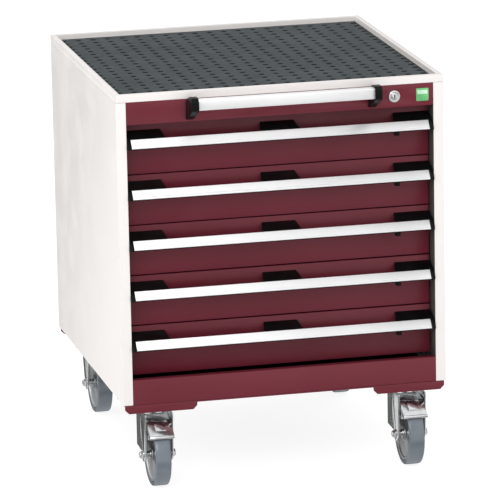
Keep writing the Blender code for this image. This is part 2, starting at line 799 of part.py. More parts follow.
def drawers():
    masters = {
        "box": finish(drawer_box(), STEEL_MAROON),
        "handle_carrier": finish(handle_carrier(), BLACK_PLASTIC),
        "handle_strip": finish(handle_strip(), ALUMINIUM),
    }
    catch = finish(drawer_catch(), BLACK_PLASTIC)
    for number in range(1, DRAWER_COUNT + 1):
        group = empty(f"drawer_{number}", (0, front(0), drawer_z(number)))
        for piece, master in masters.items():
            copy_of(master, f"drawer_{number}_{piece}", group)
        slide = empty(f"drawer_{number}_catch_slide", (HALF_W - CATCH_FROM_SIDE, 0, 0))
        slide.parent = group
        copy_of(catch, f"drawer_{number}_catch", slide)
    for master in (*masters.values(), catch):
        bpy.data.objects.remove(master, do_unlink=True)


# ---- castor channels ---------------------------------------------------------------------------------
def castor_channel(name, near, far):
    """A cross channel under the base: near is the face with the ears, far the plain flange."""
    high = -GAP
    low = high - CHANNEL_T
    end = HALF_W - CHANNEL_SIDE
    inward = 1 if far > near else -1
    web = box(name, (-end, end), sorted((front(near), front(far))), (up(low), up(high)))
    pieces = []
    for side in (-1, 1):
        def at(distance):
            return side * (end - distance)

        ear = [
            (at(0), up(high)),
            (at(0), up(EAR_CHAMFER - EAR_H)),
            (at(EAR_CHAMFER), up(-EAR_H)),
            (at(EAR_W - EAR_CHAMFER), up(-EAR_H)),
            (at(EAR_W), up(EAR_CHAMFER - EAR_H)),
            (at(EAR_W), up(high)),
        ]
        thick = sorted((front(near), front(near + inward * CHANNEL_T)))
        pieces.append(extruded("ear", ear, *thick, "Y"))
    inset = EAR_CHAMFER
    flange_y = sorted((front(far), front(far - inward * CHANNEL_T)))
    flange_z = (up(-EAR_H), up(low + CHANNEL_T / 2))
    pieces.append(box("flange", (inset - end, end - inset), flange_y, flange_z))
    finish(joined(web, *pieces), STEEL_MAROON)


# ---- castors -------------------------------------------------------------------------------------------
def about_axle(points):
    """Points given from the axle, in a castor's own axes, whose origin is on the mounting face."""
    return [(y - TRAIL, z - AXLE_DROP) for y, z in points]


def axle_hole():
    hole = cylinder("axle_hole", AXLE_R + BORE_CLEAR, -2 * LEG_OUT, 2 * LEG_OUT, "X")
    return hole


def swivel_fork():
    """A round crown, a bridge and two pressed legs, about the swivel axis."""
    crown_top = -PLATE_T - 2 * GAP
    crown_low = crown_top - CROWN_H
    legs = []
    for side in (-1, 1):
        front_end = -TRAIL - LEG_FRONT - SHEET
        bend = LEG_BEND - TRAIL
        back_end = LEG_BACK - TRAIL
        plan = [
            (side * LEG_OUT, front_end),
            (side * LEG_OUT, bend),
            (side * (LEG_OUT - LEG_TAPER), back_end),
            (side * (LEG_IN - LEG_TAPER), back_end),
            (side * LEG_IN, bend),
            (side * LEG_IN, front_end),
        ]
        low = -AXLE_DROP - EYE_R - SHEET
        legs.append(extruded("leg", plan, low, crown_low + BRIDGE_T / 2, "Z"))
    leg_top = AXLE_DROP + crown_low + BRIDGE_LAP
    side_view = about_axle(
        [
            (LEG_FRONT_HIGH - leg_top, leg_top),
            (LEG_BACK + SHEET, leg_top),
            (LEG_BACK + SHEET, LEG_BACK_LOW),
        ]
        + arc((0, 0), EYE_R, 18, -135, 7)
        + [(-LEG_FRONT, 0), (-LEG_FRONT, LEG_FRONT_HIGH)]
    )
    outline = extruded("fork_outline", side_view, -2 * LEG_OUT, 2 * LEG_OUT, "X")
    legs = [common(leg, outline_copy) for leg, outline_copy in zip(legs, twins(outline))]
    bridge = box(
        "bridge",
        (-LEG_OUT, LEG_OUT),
        (BRIDGE_FRONT, BRIDGE_BACK),
        (crown_low - BRIDGE_T + BRIDGE_LAP, crown_low + BRIDGE_LAP),
    )
    crown = cylinder("front_fork", CROWN_R, crown_low, crown_top, "Z", 36)
    kingpin = cylinder("kingpin_hole", KINGPIN_R + GAP, crown_low - 2 * BRIDGE_T, PLATE_T, "Z")
    pin_y, pin_z = pedal_pin()
    pin_hole = cylinder("pin_hole", PEDAL_PIN_R + GAP, -2 * LEG_OUT, 2 * LEG_OUT, "X", 16)
    fork = joined(crown, bridge, *legs)
    return cut(
        fork,
        kingpin,
        moved(axle_hole(), 0, -TRAIL, -AXLE_DROP),
        moved(pin_hole, 0, pin_y, pin_z),
    )


def twins(obj):
    """The object and a copy of it."""
    copy = mesh_object(obj.name + "_copy", obj.data.copy())
    return obj, copy


def fixed_fork():
    """A mounting plate with two straight legs, about the middle of the plate."""
    plate = box("rear_fork", *plate_size())
    legs = []
    for side in (-1, 1):
        outline = (
            [(FIXED_LEG, -PLATE_T / 2), (FIXED_LEG, -FIXED_LEG_SQUARE)]
            + [(y, z - AXLE_DROP) for y, z in arc((0, 0), EYE_R, 10, -190, 8)]
            + [(-FIXED_LEG, -FIXED_LEG_SQUARE), (-FIXED_LEG, -PLATE_T / 2)]
        )
        thick = sorted((side * LEG_IN, side * LEG_OUT))
        legs.append(extruded("leg", outline, *thick, "X"))
    return cut(joined(plate, *legs), moved(axle_hole(), 0, 0, -AXLE_DROP))


def plate_size():
    return (-PLATE_X / 2, PLATE_X / 2), (-PLATE_Y / 2, PLATE_Y / 2), (-PLATE_T, 0)


def top_plate():
    """The swivel castor's mounting plate with its kingpin and the pin's head under the crown."""
    plate = box("front_top_plate", *plate_size())
    bridge_low = -PLATE_T - 2 * GAP - CROWN_H - BRIDGE_T + BRIDGE_LAP
    head_top = bridge_low - 2 * GAP
    head_low = head_top - KINGPIN_HEAD_H
    profile = [
        (0, -PLATE_T / 2),
        (KINGPIN_R, -PLATE_T / 2),
        (KINGPIN_R, head_top),
        (KINGPIN_HEAD_R, head_top),
        (KINGPIN_HEAD_R, head_low),
        (0, head_low),
    ]
    return joined(plate, turned("kingpin", profile, 24))


def wheel_core():
    """Hub, web and rim, turned about the axle."""
    face = TYRE_W / 2 - RIM_IN
    rim_r = WHEEL_R - TYRE_T - GAP
    bore = AXLE_R + BORE_CLEAR
    web = WEB_T / 2
    half = [
        (bore, face),
        (HUB_R, face),
        (HUB_R + RIM_SLOPE, web),
        (rim_r - RIM_RING_T - RIM_SLOPE, web),
        (rim_r - RIM_RING_T, face),
        (rim_r, face),
    ]
    profile = half + [(radius, -height) for radius, height in reversed(half)]
    return turned("wheel_core", profile, 32, "X", closed=True)


def tyre():
    """A grey tyre with small round shoulders and a slightly crowned tread."""
    inner = WHEEL_R - TYRE_T
    half = TYRE_W / 2
    shoulder = arc((WHEEL_R - TYRE_ROUND - TYRE_CROWN, half - TYRE_ROUND), TYRE_ROUND, 90, 5, 2)
    upper = [(inner, half)] + shoulder + [(WHEEL_R, 0)]
    lower = [(radius, -height) for radius, height in reversed(upper[:-1])]
    return turned("tyre", upper + lower, 40, "X", closed=True)


def axle():
    """A shaft with spacers beside the hub, and a hexagon head and nut outside the legs."""
    start = LEG_OUT + GAP
    shaft = cylinder("axle", AXLE_R, -start - NUT_H / 2, start + NUT_H / 2, "X")
    pieces = []
    for side in (-1, 1):
        low, high = sorted((side * start, side * (start + NUT_H)))
        pieces.append(cylinder("nut", NUT_R, low, high, "X", 6))
        low, high = sorted((side * (TYRE_W / 2 - RIM_IN + GAP), side * (LEG_IN - GAP)))
        pieces.append(cylinder("spacer", SPACER_R, low, high, "X"))
    return joined(shaft, *pieces)


def pedal_pin():
    """Where the pedal turns, in the castor's axes."""
    radius = WHEEL_R + PEDAL_PIN_UP
    y = radius * math.sin(PEDAL_PIN_ANGLE)
    z = radius * math.cos(PEDAL_PIN_ANGLE)
    return about_axle([(y, z)])[0]


def pedal_profile(depth):
    """The pedal plate's side view this far below its upper face, from the rear end to the nose."""
    front_r = WHEEL_R + PEDAL_GAP + PEDAL_T - depth
    rear_r = front_r + PEDAL_RISE
    turn = PEDAL_FRONT_TILT - PEDAL_REAR_TILT
    # where the two straight parts would meet
    along = (rear_r - front_r * math.cos(turn)) / math.sin(turn)
    corner = touching(PEDAL_FRONT_TILT, front_r, along)
    radius = PEDAL_BEND_R - depth
    reach = radius * math.tan(turn / 2)
    start = touching(PEDAL_FRONT_TILT, front_r, along - reach)
    centre = (start[0] + radius * math.sin(PEDAL_FRONT_TILT), start[1] - radius * math.cos(PEDAL_FRONT_TILT))
    quarter = 90 + math.degrees(PEDAL_REAR_TILT)
    bend = arc(centre, radius, quarter, 90 + math.degrees(PEDAL_FRONT_TILT), 4)
    rear = (
        corner[0] + PEDAL_REAR_L * math.cos(PEDAL_REAR_TILT),
        corner[1] + PEDAL_REAR_L * math.sin(PEDAL_REAR_TILT),
    )
    return [rear] + bend + [touching(PEDAL_FRONT_TILT, front_r, -PEDAL_FRONT_L)]


def touching(tilt, radius, along):
    """A point on the line that touches a circle about the axle at this tilt."""
    y = -radius * math.sin(tilt) + along * math.cos(tilt)
    z = radius * math.cos(tilt) + along * math.sin(tilt)
    return (y, z)


def pedal():
    """A bent plate with two cheeks, a rolled lip, a raised pad and its pivot pin, about that pin."""
    pin_y, pin_z = pedal_pin()
    half = LEG_IN - PEDAL_SIDE_CLEAR
    over = pedal_profile(0)
    plate = extruded("pedal", about_axle(over + pedal_profile(PEDAL_T)[::-1]), -half, half, "X")
    rear_y, rear_z = over[0]
    cheek = about_axle(
        over
        + [
            (-PEDAL_CHEEK_NOSE, PEDAL_CHEEK_H),
            (PEDAL_CHEEK_TAIL, PEDAL_CHEEK_H),
            (rear_y, rear_z - PEDAL_TAIL_H),
        ]
    )
    pieces = []
    for side in (-1, 1):
        edges = sorted((side * half, side * (half - PEDAL_T)))
        pieces.append(extruded("cheek", cheek, *edges, "X"))
    face_r = WHEEL_R + PEDAL_GAP + PEDAL_T
    nose = touching(PEDAL_FRONT_TILT, face_r - PEDAL_LIP_R, -PEDAL_FRONT_L - PEDAL_T)
    lip_y, lip_z = about_axle([nose])[0]
    lip = cylinder("lip", PEDAL_LIP_R, -half, half, "X", 16)
    pieces.append(moved(lip, 0, lip_y, lip_z))
    pad = about_axle([
        touching(PEDAL_FRONT_TILT, face_r + PAD_T, PAD_AT + PAD_L),
        touching(PEDAL_FRONT_TILT, face_r + PAD_T, PAD_AT),
        touching(PEDAL_FRONT_TILT, face_r - PEDAL_T / 2, PAD_AT),
        touching(PEDAL_FRONT_TILT, face_r - PEDAL_T / 2, PAD_AT + PAD_L),
    ])
    pieces.append(extruded("pad", pad, -PAD_W / 2, PAD_W / 2, "X"))
    pin = cylinder("pin", PEDAL_PIN_R, -LEG_OUT, LEG_OUT, "X", 16)
    pieces.append(moved(pin, 0, pin_y, pin_z))
    return moved(joined(plate, *pieces), 0, -pin_y, -pin_z)


def castors():
    masters = {
        "plate": finish(top_plate(), ZINC),
        "fork": finish(swivel_fork(), ZINC),
        "fixed_fork": finish(fixed_fork(), ZINC),
        "wheel": finish(wheel_core(), ZINC, smooth=True),
        "tyre": finish(tyre(), TYRE_GREY, smooth=True),
        "axle": finish(axle(), ZINC, smooth=True),
        "pedal": finish(pedal(), ZINC),
    }
    pin_y, pin_z = pedal_pin()
    for side, hand in ((-1, "left"), (1, "right")):
        x = side * (HALF_W - CASTOR_FROM_SIDE)
        swivel = empty(f"front_{hand}_swivel", (x, front(FRONT_PIVOT), CASTOR_H))
        spin = empty(f"front_{hand}_spin", (0, -TRAIL, -AXLE_DROP))
        hinge = empty(f"front_{hand}_pedal_hinge", (0, pin_y, pin_z))
        spin.parent = swivel
        hinge.parent = swivel
        copy_of(masters["plate"], f"front_{hand}_castor_plate", swivel)
        copy_of(masters["fork"], f"front_{hand}_castor_fork", swivel)
        copy_of(masters["axle"], f"front_{hand}_castor_axle", spin)
        copy_of(masters["wheel"], f"front_{hand}_castor_wheel", spin)
        copy_of(masters["tyre"], f"front_{hand}_castor_tyre", spin)
        copy_of(masters["pedal"], f"front_{hand}_castor_pedal", hinge)
        mount = empty(f"rear_{hand}_mount", (x, front(CABINET_D - REAR_AXLE), CASTOR_H))
        spin = empty(f"rear_{hand}_spin", (0, 0, -AXLE_DROP))
        spin.parent = mount
        copy_of(masters["fixed_fork"], f"rear_{hand}_castor_fork", mount)
        copy_of(masters["axle"], f"rear_{hand}_castor_axle", spin)
        copy_of(masters["wheel"], f"rear_{hand}_castor_wheel", spin)
        copy_of(masters["tyre"], f"rear_{hand}_castor_tyre", spin)
    for master in masters.values():
        bpy.data.objects.remove(master, do_unlink=True)


# ---- assembly ---------------------------------------------------------------------------------------------
clear_scene()
PARTS = part_collection()
side_panel(-1)
side_panel(1)
back_panel()
base_panel()
plinth()
lock_fascia()
top_tray()
top_mat()
runner_frame(-1)
runner_frame(1)
push_handle()
lock()
badge()
drawers()
castor_channel("front_castor_channel", 0, CHANNEL_D)
castor_channel("rear_castor_channel", CABINET_D, CABINET_D - CHANNEL_D)
castors()
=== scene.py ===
import json
import math

import bmesh
import bpy
from mathutils import Matrix, Vector

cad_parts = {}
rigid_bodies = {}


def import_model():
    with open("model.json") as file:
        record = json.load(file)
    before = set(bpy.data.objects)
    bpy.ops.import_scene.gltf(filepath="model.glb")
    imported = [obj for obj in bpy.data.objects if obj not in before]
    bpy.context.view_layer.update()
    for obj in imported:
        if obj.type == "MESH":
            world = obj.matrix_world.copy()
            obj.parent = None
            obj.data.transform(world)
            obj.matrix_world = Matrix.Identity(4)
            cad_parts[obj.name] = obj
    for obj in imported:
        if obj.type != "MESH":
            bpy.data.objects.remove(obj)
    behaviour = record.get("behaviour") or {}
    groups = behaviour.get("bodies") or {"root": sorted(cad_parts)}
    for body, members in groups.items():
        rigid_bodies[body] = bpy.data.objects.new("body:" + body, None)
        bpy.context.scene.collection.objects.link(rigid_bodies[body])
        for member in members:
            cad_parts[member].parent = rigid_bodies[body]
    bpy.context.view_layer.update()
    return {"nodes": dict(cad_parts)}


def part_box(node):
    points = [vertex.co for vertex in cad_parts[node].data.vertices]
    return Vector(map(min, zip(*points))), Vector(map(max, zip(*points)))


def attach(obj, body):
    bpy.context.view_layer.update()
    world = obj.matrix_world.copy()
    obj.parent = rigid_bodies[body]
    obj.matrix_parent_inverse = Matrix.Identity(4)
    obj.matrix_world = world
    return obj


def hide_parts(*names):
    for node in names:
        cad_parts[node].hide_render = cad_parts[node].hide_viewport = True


for leftover in list(bpy.data.objects):
    bpy.data.objects.remove(leftover, do_unlink=True)
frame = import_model()
NODES = frame["nodes"]
SCENE = bpy.context.scene
HANDS = ("left", "right")
ENDS = ("front", "rear")
DRAWERS = range(1, 6)

# sizes of the CAD pieces, in metres
RIM_W = 0.0105
POST_W = 0.020
PLATE_T = 0.004
WHEEL_R = 0.0625
TYRE_T = 0.0085
TYRE_HALF = 0.015
WHEEL_FACE = TYRE_HALF - 0.001    # outer face of a wheel centre from its middle
LEG_OUT = 0.0283                  # outer face of a castor's legs from the wheel's middle
LEG_IN = 0.0255
AXLE_R = 0.004
GAP = 0.0003                      # between pieces that touch


# ---- node trees ----------------------------------------------------------------------
def smooth_range(nodes, low, high, to_low, to_high):
    """A new Map Range node that goes smoothly from to_low to to_high."""
    node = nodes.new("ShaderNodeMapRange")
    node.interpolation_type = "SMOOTHSTEP"
    limits = {"From Min": low, "From Max": high, "To Min": to_low, "To Max": to_high}
    for name, number in limits.items():
        node.inputs[name].default_value = number
    return node


def scaled(colour, factor, lift=0.0):
    """A colour made darker or lighter."""
    return tuple(min(1, part * factor + lift) for part in colour)


class Tree:
    """A material's nodes, with short ways to add the usual ones."""

    def __init__(self, name):
        self.material = bpy.data.materials.new(name)
        self.material.use_nodes = True
        self.nodes = self.material.node_tree.nodes
        self.links = self.material.node_tree.links
        self.nodes.clear()
        self.shader = self.nodes.new("ShaderNodeBsdfPrincipled")
        output = self.nodes.new("ShaderNodeOutputMaterial")
        self.links.new(self.shader.outputs[0], output.inputs["Surface"])
        self.place = self.nodes.new("ShaderNodeTexCoord").outputs["Object"]

    def feed(self, socket, value):
        """Link an output to a socket, or set the socket to a plain value."""
        if isinstance(value, bpy.types.NodeSocket):
            self.links.new(value, socket)
        else:
            socket.default_value = value

    def set(self, **values):
        """Set or link sockets of the main shader, by name with _ for a space."""
        for name, value in values.items():
            self.feed(self.shader.inputs[name.replace("_", " ")], value)

    def stretched(self, x=1, y=1, z=1):
        node = self.nodes.new("ShaderNodeMapping")
        self.links.new(self.place, node.inputs["Vector"])
        node.inputs["Scale"].default_value = (x, y, z)
        return node.outputs[0]

    def noise(self, scale, detail=3.0, roughness=0.5, vector=None):
        node = self.nodes.new("ShaderNodeTexNoise")
        self.links.new(vector or self.place, node.inputs["Vector"])
        node.inputs["Scale"].default_value = scale
        node.inputs["Detail"].default_value = detail
        node.inputs["Roughness"].default_value = roughness
        return node.outputs["Fac"]

    def cells(self, scale):
        node = self.nodes.new("ShaderNodeTexVoronoi")
        self.links.new(self.place, node.inputs["Vector"])
        node.inputs["Scale"].default_value = scale
        return node.outputs["Distance"]

    def ramp(self, value, low, high, to_low=0.0, to_high=1.0):
        node = smooth_range(self.nodes, low, high, to_low, to_high)
        self.feed(node.inputs["Value"], value)
        return node.outputs["Result"]

    def math(self, operation, a, b=0.0):
        node = self.nodes.new("ShaderNodeMath")
        node.operation = operation
        self.feed(node.inputs[0], a)
        self.feed(node.inputs[1], b)
        return node.outputs[0]

    def axis(self, name):
        node = self.nodes.new("ShaderNodeSeparateXYZ")
        self.links.new(self.place, node.inputs[0])
        return node.outputs[name]

    def mix(self, factor, a, b):
        """Mix two colours."""
        node = self.nodes.new("ShaderNodeMix")
        node.data_type = "RGBA"
        self.feed(node.inputs["Factor"], factor)
        sockets = [s for s in node.inputs if s.type == "RGBA"]
        for socket, colour in zip(sockets, (a, b)):
            self.feed(socket, colour if isinstance(colour, bpy.types.NodeSocket) else (*colour, 1))
        return [s for s in node.outputs if s.type == "RGBA"][0]

    def about_axle(self):
        """A vector that changes only with the distance from the X axis through the middle."""
        middle = self.nodes.new("ShaderNodeTexCoord").outputs["Generated"]
        centred = self.nodes.new("ShaderNodeVectorMath")
        centred.operation = "MULTIPLY_ADD"
        self.links.new(middle, centred.inputs[0])
        centred.inputs[1].default_value = (0, 2 * WHEEL_R, 2 * WHEEL_R)
        centred.inputs[2].default_value = (0, -WHEEL_R, -WHEEL_R)
        length = self.nodes.new("ShaderNodeVectorMath")
        length.operation = "LENGTH"
        self.links.new(centred.outputs[0], length.inputs[0])
        vector = self.nodes.new("ShaderNodeCombineXYZ")
        self.links.new(length.outputs["Value"], vector.inputs["X"])
        return vector.outputs[0]

    def mitre(self):
        """1 on the diagonal corner seams of the tray's rim, 0 elsewhere."""
        low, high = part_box("top_tray")
        across = self.math("ABSOLUTE", self.axis("X"))
        along = self.math("ABSOLUTE", self.math("SUBTRACT", self.axis("Y"), (low.y + high.y) / 2))
        apart = self.math("ABSOLUTE", self.math("SUBTRACT", across, along))
        seam = self.ramp(apart, 0.0002, 0.0006, 1.0, 0.0)
        rim = self.ramp(across, high.x - RIM_W - 0.0005, high.x - RIM_W, 0.0, 1.0)
        return self.math("MULTIPLY", seam, rim)

    def bump(self, height, strength, distance, under=None):
        node = self.nodes.new("ShaderNodeBump")
        node.inputs["Strength"].default_value = strength
        node.inputs["Distance"].default_value = distance
        self.links.new(height, node.inputs["Height"])
        if under is not None:
            self.links.new(under, node.inputs["Normal"])
        return node.outputs[0]


# ---- materials -----------------------------------------------------------------------
def powder_coat(name, base, shade, roughness, gloss=0.5, second=None, mitred=False):
    """Baked powder paint: orange peel, faint cloudiness and slightly lighter flecks.

    second is another colour and the function that makes its mask. mitred draws the corner
    seams of the tray's rim.
    """
    tree = Tree(name)
    colour = tree.mix(tree.ramp(tree.noise(5, 4), 0.35, 0.7), base, shade)
    fleck = tree.ramp(tree.noise(900, 2), 0.62, 0.78)
    colour = tree.mix(tree.math("MULTIPLY", fleck, 0.25), colour, scaled(base, 1.2, 0.01))
    if second is not None:
        colour = tree.mix(second[1](tree), colour, second[0])
    peel = tree.bump(tree.noise(420, 2, 0.4), 0.10, 0.0004)
    if mitred:
        seam = tree.mitre()
        colour = tree.mix(tree.math("MULTIPLY", seam, 0.55), colour, scaled(base, 0.35))
        peel = tree.bump(tree.math("SUBTRACT", 1.0, seam), 0.5, 0.0004, peel)
    rubbed = tree.ramp(tree.noise(14, 5, 0.6), 0.4, 0.75, roughness - 0.05, roughness + 0.08)
    tree.set(Base_Color=colour, Roughness=rubbed, Normal=peel, Specular_IOR_Level=gloss)
    return tree.material


def plated(name, base, roughness, grain=(1, 1, 1), streak=0.06):
    """Zinc-plated or galvanised steel, with a cloudy bloom and fine drawn lines."""
    tree = Tree(name)
    lines = tree.noise(380, 3, 0.6, tree.stretched(*grain))
    bloom = tree.ramp(tree.noise(38, 5, 0.62), 0.35, 0.72)
    colour = tree.mix(bloom, base, scaled(base, 0.84))
    streaked = tree.ramp(lines, 0.3, 0.7, roughness - streak / 2, roughness + streak / 2)
    rough = tree.math("ADD", streaked, tree.math("MULTIPLY", bloom, 0.05))
    surface = tree.bump(lines, 0.04, 0.0002)
    tree.set(Base_Color=colour, Metallic=1.0, Roughness=rough, Normal=surface)
    return tree.material


def turned_metal(name, base, roughness):
    """Steel faced on a lathe: fine rings about the X axis and a stretched highlight."""
    tree = Tree(name)
    rings = tree.noise(900, 2, 0.5, tree.about_axle())
    colour = tree.mix(tree.ramp(rings, 0.3, 0.7), base, scaled(base, 0.82))
    bloom = tree.ramp(tree.noise(30, 4, 0.6), 0.35, 0.7, roughness - 0.03, roughness + 0.06)
    around = tree.nodes.new("ShaderNodeTangent")
    around.direction_type = "RADIAL"
    around.axis = "X"
    tree.set(Base_Color=colour, Metallic=1.0, Roughness=bloom, Anisotropic=0.75)
    tree.set(Tangent=around.outputs[0], Normal=tree.bump(rings, 0.05, 0.0002))
    return tree.material


def anodised(name, base, roughness, grain):
    """Satin anodised aluminium with extrusion lines."""
    tree = Tree(name)
    lines = tree.noise(700, 2, 0.5, tree.stretched(*grain))
    colour = tree.mix(tree.ramp(tree.noise(9, 3), 0.3, 0.7), base, scaled(base, 0.95))
    rough = tree.ramp(lines, 0.25, 0.75, roughness - 0.04, roughness + 0.05)
    surface = tree.bump(lines, 0.012, 0.0001)
    tree.set(Base_Color=colour, Metallic=0.6, Roughness=rough, Normal=surface)
    return tree.material


def moulded(name, base, roughness, gloss=0.35):
    """Moulded plastic with a fine spark-eroded grain."""
    tree = Tree(name)
    grain = tree.cells(1500)
    colour = tree.mix(tree.ramp(tree.noise(30, 3), 0.3, 0.7), base, scaled(base, 1.5, 0.001))
    rough = tree.ramp(tree.noise(20, 4), 0.3, 0.7, roughness - 0.05, roughness + 0.08)
    surface = tree.bump(grain, 0.10, 0.0003)
    tree.set(Base_Color=colour, Roughness=rough, Normal=surface, Specular_IOR_Level=gloss)
    return tree.material


def rubber(name, base, roughness, mottled=12, fine=600, gloss=0.5, sunk=None, painted_shadow_edge=None):
    """Rubber with a slight bloom.

    sunk is the pair of heights between which it turns nearly black going down, as painted shade in
    recesses.
    painted_shadow_edge is the box of a sheet and the width of its border, painted nearly black as
    shadow in the gap round it.
    """
    tree = Tree(name)
    bloom = tree.ramp(tree.noise(mottled, 5, 0.6), 0.35, 0.75)
    colour = tree.mix(bloom, base, scaled(base, 1.25, 0.004))
    if sunk is not None:
        # painted shade: nearly black deep in recesses such as the mat's dimples
        colour = tree.mix(tree.ramp(tree.axis("Z"), *sunk), scaled(base, 0.22), colour)
    if painted_shadow_edge is not None:
        (low, high), border = painted_shadow_edge
        inside = []
        for i, axis in enumerate("XY"):
            from_middle = tree.math("SUBTRACT", tree.axis(axis), (low[i] + high[i]) / 2)
            away = tree.math("ABSOLUTE", from_middle)
            half = (high[i] - low[i]) / 2
            inside.append(tree.ramp(away, half - border, half - border * 0.6, 1.0, 0.0))
        # painted shadow: nearly black along the sheet's border
        colour = tree.mix(tree.math("MULTIPLY", *inside), scaled(base, 0.10), colour)
    rough = tree.ramp(tree.noise(60, 4), 0.3, 0.7, roughness - 0.06, roughness + 0.06)
    surface = tree.bump(tree.noise(fine, 3), 0.15, 0.0003)
    tree.set(Base_Color=colour, Roughness=rough, Normal=surface, Specular_IOR_Level=gloss)
    return tree.material


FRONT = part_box("left_side_panel")[0].y
MAT_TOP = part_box("top_mat")[1].z
MAROON = (0.150, 0.0155, 0.029)
MAROON_SHADE = (0.137, 0.0135, 0.025)
LIGHT = (0.80, 0.765, 0.745)
LIGHT_SHADE = (0.79, 0.755, 0.735)
DRAWER_GREY = (0.55, 0.56, 0.55)
DRAWER_FRONT_DEPTH = 0.051        # from the front plane to where the drawer's grey box starts
# painted shade: the posts' returns are light paint in shadow, coloured dark here
RETURN_PAINTED_SHADE = (0.085, 0.080, 0.076)
MASK_BLEND = 0.0005               # half width of the step between a drawer's two colours
MAT_PAINTED_SHADOW_BORDER = 0.0045               # painted shadow along the mat's edge, in the gap beside the tray's rim


def on_drawer_box(tree):
    """Mask of a drawer's grey box, behind its front."""
    step = FRONT + DRAWER_FRONT_DEPTH
    return tree.ramp(tree.axis("Y"), step - MASK_BLEND, step + MASK_BLEND)


def painted_shade_on_post_return(tree):
    """Mask of the posts' returns beside the drawer fronts, where painted shade darkens the light
    paint.
    """
    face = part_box("right_side_panel")[1].x - POST_W
    across = tree.math("ABSOLUTE", tree.axis("X"))
    inward = tree.ramp(across, face + 0.0006, face + 0.0010, 1.0, 0.0)
    behind = tree.ramp(tree.axis("Y"), FRONT + 0.0010, FRONT + 0.0016)
    return tree.math("MULTIPLY", inward, behind)


MATERIALS = {
    "carcass_paint": powder_coat("powder_light", LIGHT, LIGHT_SHADE, 0.42),
    # the side panels' light paint, with painted shade on the posts' returns
    "side_paint_with_painted_shade": powder_coat(
        "powder_light_side_painted_shade", LIGHT, LIGHT_SHADE, 0.42, second=(RETURN_PAINTED_SHADE, painted_shade_on_post_return)
    ),
    "tray_paint": powder_coat("powder_light_tray", LIGHT, LIGHT_SHADE, 0.42, mitred=True),
    "front_paint": powder_coat("powder_maroon", MAROON, MAROON_SHADE, 0.40, 0.35),
    "drawer_paint": powder_coat(
        "powder_maroon_and_grey", MAROON, MAROON_SHADE, 0.40, 0.35,
        second=(DRAWER_GREY, on_drawer_box),
    ),
    "base_steel": powder_coat("powder_dark", (0.06, 0.06, 0.062), (0.05, 0.05, 0.052), 0.5),
    "runner_steel": plated("galvanised", (0.55, 0.56, 0.57), 0.38, (1, 0.1, 1)),
    "castor_zinc": plated("bright_zinc", (0.78, 0.79, 0.80), 0.16, (1, 1, 0.15)),
    "wheel_metal": turned_metal("turned_steel", (0.50, 0.51, 0.52), 0.30),
    "tyre_rubber": rubber("tyre_grey", (0.120, 0.142, 0.165), 0.22, gloss=0.8),
    "handle_aluminium": anodised("satin_aluminium", (0.97, 0.972, 0.975), 0.40, (0.02, 1, 1)),
    "black_plastic": moulded("black_plastic", (0.0025, 0.003, 0.003), 0.34, 0.12),
    # the mat, with painted shade deep in its dimples and a painted shadow along its edge
    "mat_rubber": rubber(
        "mat_slate_painted_shade", (0.027, 0.036, 0.040), 0.62, 9, 900, 0.3,
        sunk=(MAT_TOP - 0.0010, MAT_TOP - 0.0001), painted_shadow_edge=(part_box("top_mat"), MAT_PAINTED_SHADOW_BORDER),
    ),
    "lock_chrome": plated("lock_chrome", (0.93, 0.93, 0.93), 0.30, (1, 1, 1), 0.03),
    "badge_green": moulded("badge_green", (0.115, 0.40, 0.145), 0.30, 0.5),
    "badge_pale": moulded("badge_pale", (0.45, 0.62, 0.47), 0.35, 0.5),
}


# ---- mesh helpers ----------------------------------------------------------------------
# turns that lay a shape's own Z along a world axis
TO_AXIS = {
    "X": Matrix(((0, 0, 1, 0), (1, 0, 0, 0), (0, 1, 0, 0), (0, 0, 0, 1))),
    "-X": Matrix(((0, 0, -1, 0), (-1, 0, 0, 0), (0, 1, 0, 0), (0, 0, 0, 1))),
    "-Y": Matrix(((1, 0, 0, 0), (0, 0, -1, 0), (0, 1, 0, 0), (0, 0, 0, 1))),
    "Y": Matrix(((-1, 0, 0, 0), (0, 0, 1, 0), (0, 1, 0, 0), (0, 0, 0, 1))),
    "Z": Matrix.Identity(4),
    "-Z": Matrix(((1, 0, 0, 0), (0, -1, 0, 0), (0, 0, -1, 0), (0, 0, 0, 1))),
}


SHARP_ANGLE = 30              # degrees between faces from which an edge stays sharp


def middle(node):
    low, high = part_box(node)
    return (low + high) / 2


def arc(centre, radius, start, end, steps):
    """Points on an arc from start to end, in degrees."""
    angles = [math.radians(start + (end - start) * i / steps) for i in range(steps + 1)]
    return [(centre[0] + radius * math.cos(a), centre[1] + radius * math.sin(a)) for a in angles]


def rounded_rectangle(centre, width, height, radius, steps=4):
    points = []
    for side_u, side_v, start in ((1, 1, 0), (-1, 1, 90), (-1, -1, 180), (1, -1, 270)):
        u = centre[0] + side_u * (width / 2 - radius)
        v = centre[1] + side_v * (height / 2 - radius)
        points += arc((u, v), radius, start, start + 90, steps)
    return points


def add_turned(shape, profile, place, axis, steps=64, closed=False):
    """Turn (radius, height) points about an axis through place.

    closed joins the last point to the first, for a ring.
    """
    move = Matrix.Translation(place) @ TO_AXIS[axis]
    rings = []
    for radius, height in profile:
        count = steps if radius > 0 else 1
        angles = [2 * math.pi * (i + 0.5) / count for i in range(count)]
        points = [(radius * math.cos(a), radius * math.sin(a), height) for a in angles]
        rings.append([shape.verts.new(move @ Vector(point)) for point in points])
    pairs = list(zip(rings, rings[1:]))
    if closed:
        pairs.append((rings[-1], rings[0]))
    for first, second in pairs:
        for i in range(steps):
            j = (i + 1) % steps
            corners = [first[i % len(first)], first[j % len(first)]]
            corners += [second[j % len(second)], second[i % len(second)]]
            shape.faces.new(dict.fromkeys(corners))


